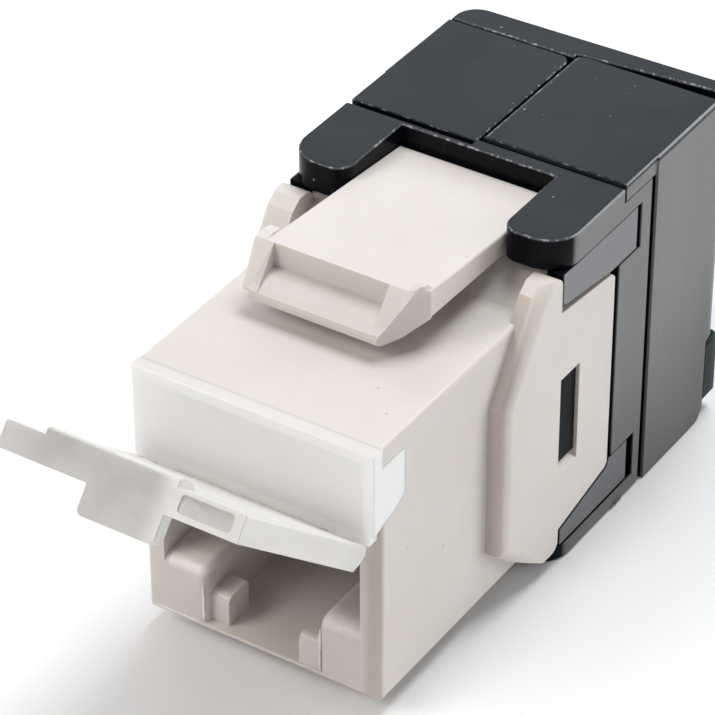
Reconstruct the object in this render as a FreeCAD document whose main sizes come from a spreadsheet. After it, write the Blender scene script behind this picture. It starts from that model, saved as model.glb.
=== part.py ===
import FreeCAD, Part
import math
import os
import Sketcher

# Keystone jack, millimetres.
# X: to the right seen from the front.  Y: from the front bezel (y = 0) to the rear.
# Z: up, with the underside of the front body at z = 0.

V = FreeCAD.Vector
doc = FreeCAD.newDocument("KeystoneJack")

# ---------------------------------------------------------------- dimensions
DIMS = [
    ("body_w", 14.5), ("body_h", 16.0), ("body_len", 20.9), ("body_round", 0.22),
    ("port_left", 6.2), ("port_right", 5.9), ("port_floor", 3.75), ("port_top", 10.25), ("port_len", 13.0),
    ("notch_left", 3.65), ("notch_right", 3.33), ("notch_floor", 0.2), ("step_left", 2.52), ("step_right", 2.1), ("step_top", 2.06), ("step_front_left", 0.48), ("step_front", 0.1), ("step_end", 2.32), ("ledge_round", 0.85), ("ledge_round_left", 0.58),
    ("cavity_w", 11.4), ("cavity_low", 1.2), ("cavity_high", 14.6), ("spring_w", 9.6), ("spring_front", 4.2), ("spring_top", 12.82),
    ("plate_out", 8.35), ("plate_left", 8.55), ("plate_in", 6.9), ("plate_front", 9.95), ("plate_rear", 20.85), ("plate_top", 17.8), ("plate_low", -0.15),
    ("plate_step_y", 15.3), ("plate_step_z", 15.46), ("plate_back_z", 14.92),
    ("slot_front", 15.45), ("slot_rear", 17.4), ("slot_low", 5.4), ("slot_high", 11.15),
    ("ramp_front", 13.6), ("ramp_rear", 16.0), ("ramp_top", 17.35), ("ramp_end", 20.55),
    ("ear_deep", 0.5),
    ("latch_w", 9.4), ("latch_rear", 20.3), ("latch_rear_z", 18.52), ("latch_front", 7.7), ("latch_front_z", 19.6),
    ("latch_floor", 18.2), ("latch_nose_y", 5.95), ("latch_nose_z", 16.9), ("latch_pin_y", 19.4), ("latch_pin_z", 17.75), ("latch_pin_r", 0.5),
    ("latch_gap", 0.06), ("recess_left", 4.2), ("recess_right", 2.7), ("cheek_out", 5.35), ("cheek_low", 5.08), ("cheek_end", 17.28),
    ("cover_t", 0.78), ("cover_low", 10.38), ("cover_pane", 0.32), ("cover_rim", 0.6), ("ear_rear", 2.03), ("ear_low", 12.15), ("ear_high", 14.88), ("ear_fit", 0.03),
    ("card_t", 0.2),
    ("door_pin_y", -1.5), ("door_pin_z", 10.2), ("door_face", 0.62), ("door_root", 0.25), ("door_half", 6.9), ("door_len", 13.1), ("door_in", 0.8), ("door_skin", 0.75),
    ("door_rim", 0.85), ("door_open", 130.3), ("door_pin_r", 0.28), ("lug_in", 4.6), ("lug_out", 5.6), ("lug_gap", 0.1), ("lug_r", 0.58), ("lug_clear", 0.72),
    ("ridge_left", 4.6), ("ridge_right", 3.0), ("ridge_high", 0.45), ("ridge_len", 2.1),
    ("tab_left", 1.6), ("tab_right", 2.8), ("tab_high", 1.55), ("tab_t", 0.95),
    ("shell_half", 8.42), ("shell_top", 19.72), ("shell_low", -1.2), ("shell_front", 14.95), ("shell_rear", 24.35), ("shell_wall", 1.07),
    ("horn_low", 17.9), ("rail_top", -0.18), ("cut_half", 4.72), ("cut_rear", 20.6), ("shell_side", 21.2), ("shell_step", 20.82), ("shell_step_right", 21.4), ("shell_under", 18.8),
    ("arm_out", 8.4), ("arm_in", 7.36), ("arm_rear", 22.95), ("arm_low_rear", 23.25),
    ("flange_front", 20.95), ("flange_rear", 22.95), ("flange_half", 7.28), ("flange_top", 17.82), ("flange_low", 0.02),
    ("core_half", 4.9), ("core_rear", 31.2), ("core_low", 0.2), ("core_top", 17.8),
    ("groove_deep", 1.6), ("groove_h", 1.15), ("wire_low", 3.4), ("wire_pitch", 4.0),
    ("tab_out", 8.15), ("tab_in", 5.75), ("tab_front", 15.55), ("tab_end", 17.36), ("tab_bottom", 5.5), ("tab_top", 11.05),
    ("wdoor_out", 8.51), ("wdoor_in", 7.45), ("wdoor_mid_right", -0.38), ("wdoor_mid_left", 0.58), ("wdoor_top", 19.92), ("wdoor_top_left", 19.68), ("wdoor_under", 18.86), ("wdoor_low", -1.15),
    ("wdoor_side_front", 24.85), ("wdoor_side_rear", 31.6), ("wdoor_side_end", 32.65), ("wdoor_side_low", 4.1), ("wdoor_front", 21.4), ("wdoor_front_right", 21.65), ("wdoor_top_rear", 31.3), ("wdoor_tail_right", 31.45), ("wdoor_front_out", 8.4),
    ("hinge_x", 7.85), ("hinge_z", 0.55), ("hinge_r", 0.3), ("hinge_hole", 0.35), ("hinge_reach", 0.85),
    ("rib_in", 5.15), ("rib_h", 0.9), ("rib_front", 28.2), ("rib_rear", 30.6),
    ("rear_front", 31.75), ("rear_rear", 32.95), ("rear_half", 7.0), ("rim_front", 31.42), ("rim_rear", 33.2), ("rim_rear_right", 33.5), ("rim_gap_left", 31.78), ("rim_gap_right", 32.6), ("rim_half", 8.3), ("rim_low", 18.5), ("rim_top", 19.78),
    ("rear_low", -1.2), ("base_half", 5.8), ("base_top", -0.1), ("base_front", 24.35), ("nub_half", 8.45), ("nub_rear", 33.05), ("lug_low", -0.3), ("lug_high", 3.9), ("entry_d", 7.0), ("entry_z", 9.3),
    ("board_front", 18.5), ("board_t", 1.2), ("board_half", 5.6), ("board_low", 1.3), ("board_high", 14.5),
    ("pitch", 1.016), ("spring_d", 0.38), ("spring_level", 12.6),
    ("carrier_half", 5.6), ("carrier_front", 13.2), ("carrier_rear", 18.45), ("carrier_low", 1.3), ("carrier_top", 13.9),
    ("blade_t", 0.4), ("blade_y", 26.6), ("blade_in", 2.2), ("blade_out", 4.8), ("blade_half", 1.1), ("fork_gap", 0.26), ("fork_deep", 1.5),
]

sheet = doc.addObject("Spreadsheet::Sheet", "Dims")
for i, (name, value) in enumerate(DIMS, start=1):
    sheet.set("A%d" % i, name)
    sheet.set("B%d" % i, "%g" % value)
    sheet.setAlias("B%d" % i, name)
doc.recompute()


class Q:
    """A length with its value and the spreadsheet expression it comes from."""

    def __init__(self, v, e):
        self.v, self.e = float(v), e

    @staticmethod
    def of(a):
        return a if isinstance(a, Q) else Q(a, "%g" % a if a >= 0 else "(%g)" % a)

    def __add__(self, o):
        o = Q.of(o)
        return Q(self.v + o.v, "(%s + %s)" % (self.e, o.e))

    __radd__ = __add__

    def __sub__(self, o):
        o = Q.of(o)
        return Q(self.v - o.v, "(%s - %s)" % (self.e, o.e))

    def __rsub__(self, o):
        return Q.of(o) - self

    def __mul__(self, o):
        o = Q.of(o)
        return Q(self.v * o.v, "(%s * %s)" % (self.e, o.e))

    __rmul__ = __mul__

    def __truediv__(self, o):
        o = Q.of(o)
        return Q(self.v / o.v, "(%s / %s)" % (self.e, o.e))

    def __neg__(self):
        return Q(-self.v, "(-1 * %s)" % self.e)


class D:
    pass


for name, value in DIMS:
    setattr(D, name, Q(sheet.get(name), "Dims." + name))


def bind(obj, prop, q):
    """Set a property from a Q, with its expression where it has one."""
    q = Q.of(q)
    if "Dims." in q.e:
        obj.setExpression(prop, q.e)


# ------------------------------------------------------------ sketch helpers
def plane(body, role):
    return [o for o in body.Origin.OriginFeatures if o.Role == role][0]


COUNT = {}


def uid(base):
    COUNT[base] = COUNT.get(base, 0) + 1
    return "%s_%d" % (base, COUNT[base])


def sketch(body, role, off=0.0):
    s = body.newObject("Sketcher::SketchObject", uid(body.Name + "_sk"))
    s.AttachmentSupport = [(plane(body, role), "")]
    s.MapMode = "FlatFace"
    q = Q.of(off)
    s.AttachmentOffset = FreeCAD.Placement(V(0, 0, q.v), FreeCAD.Rotation())
    bind(s, "AttachmentOffset.Base.z", q)
    return s


def locate(s, geo, pos, x, y):
    """Hold a sketch point at (x, y) from the origin, bound to the sheet."""
    for kind, axis, q in (("DistanceX", -2, Q.of(x)), ("DistanceY", -1, Q.of(y))):
        if abs(q.v) < 1e-9:
            s.addConstraint(Sketcher.Constraint("PointOnObject", geo, pos, axis))
        elif q.v > 0:
            k = s.addConstraint(Sketcher.Constraint(kind, -1, 1, geo, pos, q.v))
            bind(s, "Constraints[%d]" % k, q)
        else:
            k = s.addConstraint(Sketcher.Constraint(kind, geo, pos, -1, 1, -q.v))
            bind(s, "Constraints[%d]" % k, -q)


def poly(s, pts):
    base = s.GeometryCount
    n = len(pts)
    val = [(Q.of(x).v, Q.of(y).v) for x, y in pts]
    for i in range(n):
        a, b = val[i], val[(i + 1) % n]
        s.addGeometry(Part.LineSegment(V(a[0], a[1], 0), V(b[0], b[1], 0)), False)
    for i in range(n):
        s.addConstraint(Sketcher.Constraint("Coincident", base + i, 2, base + (i + 1) % n, 1))
    for i in range(n):
        locate(s, base + i, 1, pts[i][0], pts[i][1])
    return s


def eased(pts, corners, steps=5):
    """The outline with some corners turned into arcs: corners is {index: radius}."""
    out = []
    n = len(pts)
    for i, p in enumerate(pts):
        if i not in corners:
            out.append(p)
            continue
        r = corners[i]
        q = V(Q.of(p[0]).v, Q.of(p[1]).v, 0)
        a = V(Q.of(pts[i - 1][0]).v, Q.of(pts[i - 1][1]).v, 0) - q
        b = V(Q.of(pts[(i + 1) % n][0]).v, Q.of(pts[(i + 1) % n][1]).v, 0) - q
        a.normalize()
        b.normalize()
        half = a.getAngle(b) / 2.0
        mid_dir = (a + b).normalize()
        centre = q + mid_dir * (r / math.sin(half))
        u = (q + a * (r / math.tan(half))) - centre
        w = (q + b * (r / math.tan(half))) - centre
        turn = u.getAngle(w)
        side = 1.0 if u.cross(w).z > 0 else -1.0
        for k in range(steps + 1):
            ang = side * turn * k / steps
            v = V(u.x * math.cos(ang) - u.y * math.sin(ang), u.x * math.sin(ang) + u.y * math.cos(ang), 0)
            # kept as an offset from the corner, so the sheet still moves it
            out.append((p[0] + round((centre + v - q).x, 6), p[1] + round((centre + v - q).y, 6)))
    return out


def rect(s, x0, x1, y0, y1):
    return poly(s, [(x0, y0), (x1, y0), (x1, y1), (x0, y1)])


def circle(s, x, y, r):
    q = Q.of(r)
    g = s.addGeometry(Part.Circle(V(Q.of(x).v, Q.of(y).v, 0), V(0, 0, 1), q.v), False)
    locate(s, g, 3, x, y)
    k = s.addConstraint(Sketcher.Constraint("Radius", g, q.v))
    bind(s, "Constraints[%d]" % k, q)
    return s


def solid_volume(body):
    return body.Shape.Volume if not body.Shape.isNull() else 0.0


def feature(body, kind, s, length, reverse=False, both=False):
    """Pad (adds) or Pocket (cuts) of a sketch; the volume is compared before and after."""
    before = solid_volume(body)
    f = body.newObject("PartDesign::" + kind, uid(body.Name + "_" + kind.lower()))
    f.Profile = s
    q = Q.of(length)
    f.Length = q.v
    bind(f, "Length", q)
    f.Reversed = reverse
    if both:
        f.SideType = "Symmetric"
    body.Tip = f
    doc.recompute()
    after = solid_volume(body)
    if (kind == "Pad" and after <= before + 1e-6) or (kind == "Pocket" and after >= before - 1e-6):
        raise RuntimeError("%s changed nothing: %.4f -> %.4f" % (f.Name, before, after))
    return f


def pad(body, s, length, **k):
    return feature(body, "Pad", s, length, **k)


def cut(body, s, length, **k):
    return feature(body, "Pocket", s, length, **k)


def edge_names(shape, pick):
    out = []
    for i, e in enumerate(shape.Edges, start=1):
        c = e.valueAt((e.FirstParameter + e.LastParameter) / 2.0)
        b = e.BoundBox
        if pick(c, b):
            out.append("Edge%d" % i)
    return out


def round_edges(body, radius, pick, kind="Fillet"):
    """Fillet or chamfer the edges whose middle and box pass the test, as many as will take it."""
    base = body.Tip
    names = edge_names(base.Shape, pick)
    if not names:
        raise RuntimeError("no edges picked on " + body.Name)
    f = body.newObject("PartDesign::" + kind, uid(body.Name + "_" + kind.lower()))
    f.Base = (base, names)
    q = Q.of(radius)
    prop = "Radius" if kind == "Fillet" else "Size"
    setattr(f, prop, q.v)
    bind(f, prop, q)
    body.Tip = f
    doc.recompute()
    if "Invalid" in f.State or "Error" in f.State or f.Shape.isNull() or not f.Shape.isValid():
        raise RuntimeError("%s of %s failed on %s" % (kind, body.Name, names))
    return f


def new_body(label):
    b = doc.addObject("PartDesign::Body", label)
    b.Label = label
    return b


def near(a, b, tol=0.02):
    return abs(a - Q.of(b).v) < tol


def flat(lo, hi, tol=1e-4):
    return abs(hi - lo) < tol


def span(lo, hi, least):
    return hi - lo > least


NODES = []

half_w = D.body_w / 2

# -------------------------------------------------------------- front housing
fh = new_body("front_housing")
pad(fh, rect(sketch(fh, "XZ_Plane"), -half_w, half_w, 0, D.body_h), D.body_len, reverse=True)
# side plates: outline in Y and Z, first the full width, then the middle is opened
outline = [(D.plate_front, 2.9), (D.plate_front, 12.2), (13.35, 17.3), (14.05, D.plate_top),
           (D.plate_step_y, D.plate_top), (D.plate_step_y, D.plate_step_z), (20.5, D.plate_back_z),
           (D.plate_rear, 14.6), (D.plate_rear, 2.45), (20.6, 2.2), (15.7, 1.15), (15.7, D.plate_low),
           (14.2, D.plate_low), (10.75, 2.15)]
outline = eased(outline, {3: 0.35, 4: 0.6, 11: 0.55, 12: 0.5})
pad(fh, poly(sketch(fh, "YZ_Plane"), outline), D.plate_out * 2, both=True)
pad(fh, poly(sketch(fh, "YZ_Plane", -D.plate_out), outline), D.plate_left - D.plate_out, reverse=True)
cut(fh, rect(sketch(fh, "YZ_Plane"), 9.5, 16, D.body_h, 18.5), D.plate_in * 2, both=True)
cut(fh, rect(sketch(fh, "YZ_Plane"), 9.5, 16, -1, 0), D.body_w, both=True)
# ramp that carries the root of the latch
pad(fh, poly(sketch(fh, "YZ_Plane"), [(D.ramp_front, D.body_h - 0.5), (D.ramp_front, D.body_h), (D.ramp_rear, D.ramp_top),
                                      (D.ramp_end, D.ramp_top), (D.ramp_end, D.body_h - 0.5)]), D.body_w, both=True)
# groove under the latch root
cut(fh, circle(sketch(fh, "YZ_Plane"), D.latch_pin_y, D.latch_pin_z, D.latch_pin_r + D.latch_gap), D.latch_w + 0.3, both=True)
# RJ45 port, latch notch and the two catches
cut(fh, rect(sketch(fh, "XZ_Plane"), -D.port_left, D.port_right, D.port_floor, D.port_top), D.port_len)
cut(fh, rect(sketch(fh, "XZ_Plane"), -D.notch_left, D.notch_right, D.notch_floor, D.port_floor + 0.2), D.port_len)
round_edges(fh, D.ledge_round, lambda c, b: c.x > 0 and flat(b.ZMin, b.ZMax) and near(c.z, D.port_floor) and flat(b.YMin, b.YMax) and near(c.y, 0) and span(b.XMin, b.XMax, 2))
round_edges(fh, D.ledge_round_left, lambda c, b: c.x < 0 and flat(b.ZMin, b.ZMax) and near(c.z, D.port_floor) and flat(b.YMin, b.YMax) and near(c.y, 0) and span(b.XMin, b.XMax, 2))
round_edges(fh, 0.45, lambda c, b: flat(b.ZMin, b.ZMax) and near(c.z, D.port_floor) and (near(c.x, -D.notch_left) or near(c.x, D.notch_right)) and span(b.YMin, b.YMax, 5))
for x0, wide, lead in ((D.step_right, D.notch_right + 0.1 - D.step_right, D.step_front), (-D.notch_left - 0.1, D.notch_left + 0.1 - D.step_left, D.step_front_left)):
    step = [(lead, D.notch_floor - 0.1), (D.step_end, D.notch_floor - 0.1), (D.step_end, D.step_top), (lead, D.step_top)]
    st = sketch(fh, "YZ_Plane", x0)
    poly(st, eased(step, {2: 0.15, 3: 0.5}))
    pad(fh, st, wide)
# cavity for the carrier and the board, and the spring chamber above the port
cut(fh, rect(sketch(fh, "XZ_Plane", -D.body_len), -D.cavity_w / 2, D.cavity_w / 2, D.cavity_low, D.cavity_high), D.body_len - D.port_len + 0.1, reverse=True)
cut(fh, rect(sketch(fh, "XZ_Plane", -D.spring_front), -D.spring_w / 2, D.spring_w / 2, D.port_top - 0.2, D.spring_top), D.body_len - D.spring_front)
# slots in the side plates for the snap tabs, and the channels they come along
cut(fh, rect(sketch(fh, "XZ_Plane", -D.body_len), -D.tab_in - 1.05, D.tab_in + 1.05, D.slot_low, D.slot_high), D.body_len - D.slot_front, reverse=True)
cut(fh, rect(sketch(fh, "YZ_Plane"), D.slot_front, D.slot_rear, D.slot_low, D.slot_high), 20, both=True)
# recesses in the two sides for the ears of the window
ear_cut = [(-0.1, 11.3), (0, 11.32), (1.0, 11.5), (1.8, 11.95), (D.ear_rear + D.ear_fit, D.ear_low), (D.ear_rear + D.ear_fit, D.ear_high + D.ear_fit), (-0.1, D.ear_high + D.ear_fit)]
cut(fh, poly(sketch(fh, "YZ_Plane", half_w), ear_cut), D.ear_deep)
cut(fh, poly(sketch(fh, "YZ_Plane", -half_w), ear_cut), D.ear_deep, reverse=True)
# rounded edges
round_edges(fh, 0.7, lambda c, b: near(c.x, D.plate_out) and c.y < 14.6 and c.z > 2.0 and flat(b.XMin, b.XMax) and span(b.ZMin, b.ZMax, 0.4))
round_edges(fh, 0.2, lambda c, b: near(c.x, -D.plate_left) and c.y < 14.6 and c.z > 2.0 and flat(b.XMin, b.XMax) and span(b.ZMin, b.ZMax, 0.4))
round_edges(fh, D.body_round, lambda c, b: near(abs(c.x), half_w) and flat(b.XMin, b.XMax) and (
    (near(c.z, D.body_h) and c.y < 10) or (near(c.z, 0) and c.y < 12) or (near(c.y, 0) and c.z < 11)))
round_edges(fh, 0.45, lambda c, b: (near(c.x, D.plate_out) or near(c.x, -D.plate_left)) and near(c.z, D.slot_low) and flat(b.ZMin, b.ZMax), kind="Chamfer")

# ---------------------------------------------------------------- panel latch
pl = new_body("panel_latch")
slab = [(D.latch_rear, D.latch_rear_z), (D.latch_front, D.latch_front_z), (6.3, 17.75), (6.06, 17.5), (5.95, 17.25), (D.latch_nose_y, D.latch_nose_z + 0.12),
        (6.05, D.latch_nose_z + 0.02), (6.25, D.latch_nose_z), (7.1, 17.1), (8.6, 17.92), (15.8, 17.72), (18.7, 17.62), (18.9, 17.5), (D.latch_rear, 17.5)]
pad(pl, poly(sketch(pl, "YZ_Plane"), slab), D.latch_w, both=True)
pad(pl, circle(sketch(pl, "YZ_Plane"), D.latch_pin_y, D.latch_pin_z, D.latch_pin_r), D.latch_w, both=True)
# left cheek stands proud of the slab
ck = sketch(pl, "YZ_Plane", -D.latch_w / 2)
poly(ck, [(9.0, 19.55), (8.3, 19.66), (D.latch_front, D.latch_front_z), (6.3, 17.75), (6.1, 17.45), (6.2, D.cheek_end), (6.6, D.cheek_end), (8.4, 18.1), (9.0, 18.7)])
pad(pl, ck, D.cheek_out - D.latch_w / 2, reverse=True)
# its outer face leans in toward the bottom
tk = sketch(pl, "XZ_Plane", -5.0)
poly(tk, [(-D.cheek_out - 0.5, 19.3), (-D.cheek_out, 19.3), (-D.cheek_low, 17.2), (-D.cheek_low, 16.5), (-D.cheek_out - 0.5, 16.5)])
cut(pl, tk, 4.2)
# recess that takes the panel edge, with a floor that ramps to the nose
rc = sketch(pl, "YZ_Plane", -D.recess_left)
poly(rc, [(D.latch_front, 21), (D.latch_front, D.latch_floor), (6.95, 18.05), (6.6, 17.88), (6.38, 17.7), (6.12, 17.5), (5.9, 17.38), (5.0, 17.35), (5.0, 21)])
cut(pl, rc, D.recess_left + D.recess_right, reverse=True)
# the outer corner of the right cheek ends in a low peak
tip = sketch(pl, "XZ_Plane", -D.latch_front)
poly(tip, [(3.75, 19.3), (3.75, 19.58), (4.15, 19.7), (4.4, 19.92), (4.5, 19.88), (4.52, 19.3)])
pad(pl, tip, 1.0, reverse=True)
fade = sketch(pl, "YZ_Plane", 3.6)
poly(fade, [(D.latch_front - 0.2, 19.95), (8.3, 19.95), (8.75, 19.5), (8.75, 20.5), (D.latch_front - 0.2, 20.5)])
cut(pl, fade, 1.3, reverse=True)
# front right corner is cut back on a slant
tp = sketch(pl, "XY_Plane", 15)
poly(tp, [(5.0, 8.84), (2.65, 5.4), (5.0, 5.4)])
cut(pl, tp, 6, reverse=True)
round_edges(pl, 0.16, lambda c, b: near(c.z, D.latch_nose_z, 0.12) and span(b.XMin, b.XMax, 3) and c.y < 6.6)
round_edges(pl, 0.12, lambda c, b: flat(b.XMin, b.XMax) and near(abs(c.x), D.latch_w / 2) and c.z > 18.6 and span(b.YMin, b.YMax, 5))

# ---------------------------------------------------------------- label cover
lc = new_body("label_cover")
pad(lc, rect(sketch(lc, "XZ_Plane"), -half_w, half_w, D.cover_low, D.body_h), D.cover_t)
ear = [(-D.cover_t, 11.05), (0, 11.36), (1.0, 11.54), (1.78, 11.98), (D.ear_rear, D.ear_low + 0.03), (D.ear_rear, D.ear_high), (-D.cover_t, D.ear_high)]
pad(lc, poly(sketch(lc, "YZ_Plane", half_w), ear), D.ear_deep - D.ear_fit, reverse=True)
pad(lc, poly(sketch(lc, "YZ_Plane", -half_w), ear), D.ear_deep - D.ear_fit)
# corner below the right ear is cut on a slant
cut(lc, poly(sketch(lc, "YZ_Plane", half_w), [(-1.2, 10.0), (0.5, 10.0), (0.5, 11.4), (0, 11.36), (-D.cover_t, 11.05), (-1.2, 10.9)]), 0.3)
# pocket for the card
cut(lc, rect(sketch(lc, "XZ_Plane"), -half_w + D.cover_rim, half_w - D.cover_rim, D.cover_low + D.cover_rim, D.body_h - D.cover_rim), D.cover_t - D.cover_pane, reverse=True)
# two hinge lugs under the window, each with its bore
for sgn in (1, -1):
    a, b = (D.lug_in, D.lug_out) if sgn > 0 else (-D.lug_out, -D.lug_in)
    sk = sketch(lc, "YZ_Plane", a)
    poly(sk, [(-0.05, D.cover_low + 0.02), (-0.05, D.cover_low - 0.25), (D.door_pin_y + 0.1, D.door_pin_z - D.lug_r + 0.02), (D.door_pin_y - 0.35, D.door_pin_z - 0.45),
              (D.door_pin_y - D.lug_r + 0.02, D.door_pin_z), (D.door_pin_y - 0.38, D.door_pin_z + 0.4), (D.door_pin_y + 0.02, D.door_pin_z + 0.54), (D.door_pin_y + 0.35, D.door_pin_z + 0.42),
              (-D.cover_t + 0.02, D.cover_low + 0.04)])
    pad(lc, sk, D.lug_out - D.lug_in)
cut(lc, circle(sketch(lc, "YZ_Plane"), D.door_pin_y, D.door_pin_z, D.door_pin_r + 0.04), 13, both=True)
round_edges(lc, 0.12, lambda c, b: near(c.y, -D.cover_t) and flat(b.YMin, b.YMax) and (near(c.z, D.body_h) or (near(abs(c.x), half_w) and span(b.ZMin, b.ZMax, 3))))

# ----------------------------------------------------------------- label card
card = doc.addObject("Part::Box", "label_card")
card.Label = "label_card"
for prop, q in (("Length", D.body_w - D.cover_rim * 2 - 0.2), ("Width", D.card_t), ("Height", D.body_h - D.cover_low - D.cover_rim * 2 - 0.2),
                ("Placement.Base.x", -half_w + D.cover_rim + 0.1), ("Placement.Base.y", -D.card_t - 0.05), ("Placement.Base.z", D.cover_low + D.cover_rim + 0.1)):
    bind(card, prop, q)

# ------------------------------------------------------------------ dust door
# drawn closed, about its own pin line, then turned open
dd = new_body("dust_door")
pad(dd, poly(sketch(dd, "YZ_Plane"), [(-D.door_face, -D.door_len), (-D.door_face, D.door_root), (-0.1, D.door_root + 0.2), (0.4, 0.15), (D.door_in, -0.2), (D.door_in, -D.door_len)]), D.door_half * 2, both=True)
# hollow on the inner side, inside a rim
cut(dd, rect(sketch(dd, "XZ_Plane", -D.door_in), -D.door_half + D.door_rim, D.door_half - D.door_rim, -D.door_len + D.door_rim, -1.3), D.door_in + D.door_face - D.door_skin, reverse=True)
# finger ridge on the outer side and the tab on the inner side of the free edge
rg = sketch(dd, "YZ_Plane", -D.ridge_left)
poly(rg, [(-D.door_face + 0.1, -D.door_len), (-D.door_face - D.ridge_high + 0.15, -D.door_len), (-D.door_face - D.ridge_high, -D.door_len + 0.25),
          (-D.door_face - D.ridge_high, -D.door_len + 1.1), (-D.door_face + 0.1, -D.door_len + D.ridge_len)])
pad(dd, rg, D.ridge_left + D.ridge_right)
tb = sketch(dd, "YZ_Plane", -D.tab_left)
rect(tb, 0, D.door_in + D.tab_high, -D.door_len, -D.door_len + D.tab_t)
pad(dd, tb, D.tab_left + D.tab_right)
# shallow panel in the free edge beside the tab
pan = [(D.tab_right + 0.6, -0.42), (D.door_half - 0.5, -0.42), (D.door_half - 0.5, D.door_in - 0.3), (D.tab_right + 0.6, D.door_in - 0.3)]
cut(dd, poly(sketch(dd, "XY_Plane", -D.door_len), eased(pan, {0: 0.2, 1: 0.2, 2: 0.2, 3: 0.2})), 0.1, reverse=True)
# gaps for the lugs; the pins bridge them
for sgn in (1, -1):
    x0 = D.lug_in - D.lug_gap if sgn > 0 else -D.lug_out - D.lug_gap
    sk = sketch(dd, "YZ_Plane", x0)
    rect(sk, -1.0, 1.0, -D.lug_clear, 0.9)
    cut(dd, sk, D.lug_out - D.lug_in + D.lug_gap * 2, reverse=True)
pad(dd, circle(sketch(dd, "YZ_Plane"), 0, 0, D.door_pin_r), (D.lug_out + 0.2) * 2, both=True)
round_edges(dd, 0.35, lambda c, b: near(c.y, D.door_in + D.tab_high) and flat(b.YMin, b.YMax) and flat(b.XMin, b.XMax))
round_edges(dd, 0.15, lambda c, b: near(c.y, -D.door_face) and flat(b.YMin, b.YMax) and near(abs(c.x), D.door_half) and span(b.ZMin, b.ZMax, 5))
dd.Placement = FreeCAD.Placement(V(0, D.door_pin_y.v, D.door_pin_z.v), FreeCAD.Rotation(V(1, 0, 0), -D.door_open.v))
bind(dd, "Placement.Base.y", D.door_pin_y)
bind(dd, "Placement.Base.z", D.door_pin_z)

# ---------------------------------------------------------------- front shell
fs = new_body("front_shell")
pad(fs, rect(sketch(fs, "XZ_Plane", -D.shell_front), -D.shell_half, D.shell_half, D.shell_low, D.shell_top), D.shell_rear - D.shell_front, reverse=True)
# inside: open from front to rear between the side walls
cut(fs, rect(sketch(fs, "XZ_Plane", -D.shell_front), -D.shell_half + D.shell_wall, D.shell_half - D.shell_wall, D.rail_top, D.horn_low), D.shell_rear - D.shell_front)
# U cut-out round the latch, and the step that the wire doors close over
cut(fs, rect(sketch(fs, "XY_Plane", 17), -D.cut_half, D.cut_half, D.shell_front - 1, D.cut_rear), 5, reverse=True)
cut(fs, rect(sketch(fs, "YZ_Plane"), D.shell_step_right, D.shell_rear + 1, D.shell_under, D.shell_top + 1), D.shell_half * 2 + 2, both=True)
cut(fs, rect(sketch(fs, "YZ_Plane", -(D.wdoor_mid_left - 0.05)), D.shell_step, D.shell_rear + 1, D.shell_under, D.shell_top + 1), D.shell_half + 1)
# side openings round the white plates, with the slots behind the arms
side = [(D.shell_front - 1, 17.9), (23.38, 17.9), (23.38, 15.08), (D.shell_side, 15.08), (D.shell_side, 2.72), (23.68, 2.72), (23.68, D.rail_top), (D.shell_front - 1, D.rail_top)]
cut(fs, poly(sketch(fs, "YZ_Plane"), side), D.shell_half * 2 + 2, both=True)
# pin holes for the wire doors in the rear face
for sgn in (1, -1):
    cut(fs, circle(sketch(fs, "XZ_Plane", -D.shell_rear), D.hinge_x * sgn, D.hinge_z, D.hinge_hole), 0.5, reverse=True)
# rounded horns, rail and long edges
round_edges(fs, 1.9, lambda c, b: near(c.y, D.shell_front) and near(abs(c.x), D.shell_half) and flat(b.YMin, b.YMax) and flat(b.XMin, b.XMax) and span(b.ZMin, b.ZMax, 1.0))
round_edges(fs, 1.0, lambda c, b: near(c.y, D.shell_front) and near(abs(c.x), D.cut_half) and flat(b.YMin, b.YMax) and flat(b.XMin, b.XMax) and c.z > 17)
round_edges(fs, 0.14, lambda c, b: near(c.z, D.shell_top) and flat(b.ZMin, b.ZMax) and c.y < 20.8)
round_edges(fs, 0.2, lambda c, b: near(c.z, D.shell_low) and flat(b.ZMin, b.ZMax) and c.y < 24)

# ------------------------------------------------------------- terminal block
tbk = new_body("terminal_block")
pad(tbk, rect(sketch(tbk, "XZ_Plane", -D.flange_front), -D.flange_half, D.flange_half, D.flange_low, D.flange_top), D.flange_rear - D.flange_front, reverse=True)
pad(tbk, rect(sketch(tbk, "XZ_Plane", -D.flange_front - 1), -D.core_half, D.core_half, D.core_low, D.core_top), D.core_rear - D.flange_front - 1, reverse=True)
# arms: upper and lower tooth each side, joined to the flange
upper = [(D.flange_rear, 15.22), (20.3, 15.22), (15.55, 15.9), (15.36, 16.1), (15.36, 16.4), (15.36, 17.8), (D.flange_rear, 17.8)]
lower = [(D.flange_rear, 0.05), (D.flange_rear, 2.6), (20.98, 2.6), (20.86, 2.25), (20.7, 2.08), (15.86, 1.04), (15.86, 0.05)]
for sgn in (1, -1):
    for shape in (upper, lower):
        sk = sketch(tbk, "YZ_Plane", D.arm_in * sgn)
        poly(sk, shape)
        pad(tbk, sk, D.arm_out - D.arm_in, reverse=(sgn < 0))
# webs from the arms to the flange
for sgn, rev in ((1, False), (-1, True)):
    for z0, z1 in ((15.3, 17.8), (0.1, 2.55)):
        sk = sketch(tbk, "YZ_Plane", (D.flange_half - 0.2) * sgn)
        rect(sk, D.flange_front + 0.1, D.flange_rear, z0, z1)
        pad(tbk, sk, 0.4, reverse=rev)
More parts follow.
